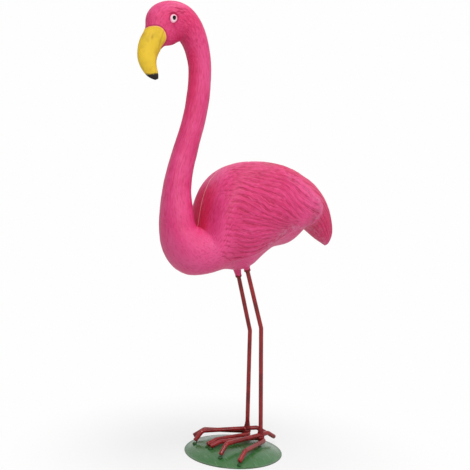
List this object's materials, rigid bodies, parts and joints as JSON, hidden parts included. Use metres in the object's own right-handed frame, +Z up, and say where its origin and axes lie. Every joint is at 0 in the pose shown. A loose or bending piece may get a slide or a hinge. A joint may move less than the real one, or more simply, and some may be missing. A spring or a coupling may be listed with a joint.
{
  "type": "plastic bird lawn ornament",
  "caption": "Blow-moulded plastic flamingo on bent steel rod legs and feet, standing on a domed sheet-metal dish, for decorating a lawn or garden.",
  "frame": {"origin": "on the floor, under the middle of the whole ornament", "axes": "+Z up, the bird faces -Y and its left side is at +X"},
  "size_m": [0.1964, 0.4436, 0.8467],
  "materials": {
    "bird_plastic": "pink blow-moulded plastic, beak painted yellow with a black tip",
    "leg_paint": "dark red gloss paint on steel rod",
    "dish_paint": "green paint on sheet steel"
  },
  "bodies": {
    "root": {"bird_body": "bird_plastic", "left_leg_rod": "leg_paint", "right_leg_rod": "leg_paint", "left_middle_toe_rod": "leg_paint", "left_outer_toes_rod": "leg_paint", "right_middle_toe_rod": "leg_paint", "right_outer_toes_rod": "leg_paint", "base_dish": "dish_paint"}
  },
  "joints": []
}
